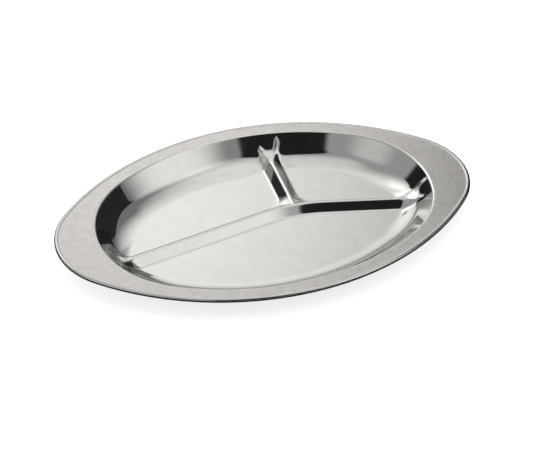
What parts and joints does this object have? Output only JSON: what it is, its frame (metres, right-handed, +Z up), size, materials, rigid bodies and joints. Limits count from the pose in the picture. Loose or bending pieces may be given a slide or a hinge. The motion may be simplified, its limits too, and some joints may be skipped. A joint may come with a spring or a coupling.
{
  "type": "divided lunch plate",
  "caption": "Oval pressed-steel plate with a wide flat brim, a rolled edge and a sloping-walled well parted into compartments by a low raised divider.",
  "frame": {"origin": "under the middle of the plate, on the surface that it rests on", "axes": "+X along the plate's length, towards the end with the smaller back compartment; +Y towards the back compartments; +Z up"},
  "size_m": [0.2999, 0.1928, 0.0186],
  "materials": {
    "stainless": "mirror-polished well with a satin brim"
  },
  "bodies": {
    "root": {"pressed_plate": "stainless"}
  },
  "joints": []
}
